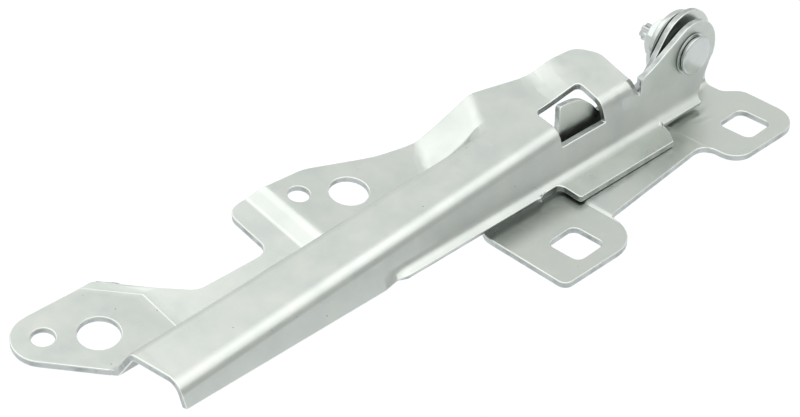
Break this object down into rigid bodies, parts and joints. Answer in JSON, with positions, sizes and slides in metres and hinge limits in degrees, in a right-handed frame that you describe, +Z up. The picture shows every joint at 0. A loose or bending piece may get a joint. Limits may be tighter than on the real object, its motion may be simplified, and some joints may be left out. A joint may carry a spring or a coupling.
{
  "type": "bonnet hinge",
  "caption": "Pressed steel bonnet hinge: a channel-section bonnet arm turns on a pivot bolt above a flanged body bracket.",
  "frame": {"origin": "on the mounting face under the body bracket's front lobe, in line along X with the lobe's square bolt hole and 14 mm behind its centre", "axes": "+X along the arm towards the pivot, +Y across the hinge away from the pivot bolt's head, +Z up from the body"},
  "size_m": [0.297, 0.105, 0.0405],
  "materials": {
    "arm_zinc": "bright zinc plate, satin",
    "bracket_zinc": "bright zinc plate, satin",
    "bolt_steel": "bright zinc plate",
    "head_washer_steel": "bright zinc plate",
    "bush_metal": "plain bearing metal, dull",
    "spacer_steel": "zinc plate",
    "dished_steel": "zinc plate, satin",
    "nut_steel": "zinc plate, satin"
  },
  "bodies": {
    "bracket": {"body_bracket": "bracket_zinc", "pivot_bolt": "bolt_steel", "head_washer": "head_washer_steel", "spacer_washer": "spacer_steel", "dished_washer": "dished_steel", "lock_nut": "nut_steel"},
    "arm": {"bonnet_arm": "arm_zinc", "pivot_bush": "bush_metal"}
  },
  "joints": [
    {"name": "bonnet_pivot", "type": "hinge", "parent": "bracket", "child": "arm", "pos_m": [0.096, 0.01725, 0.0261], "axis": [0, 1, 0], "range_deg": [0, 65]}
  ]
}
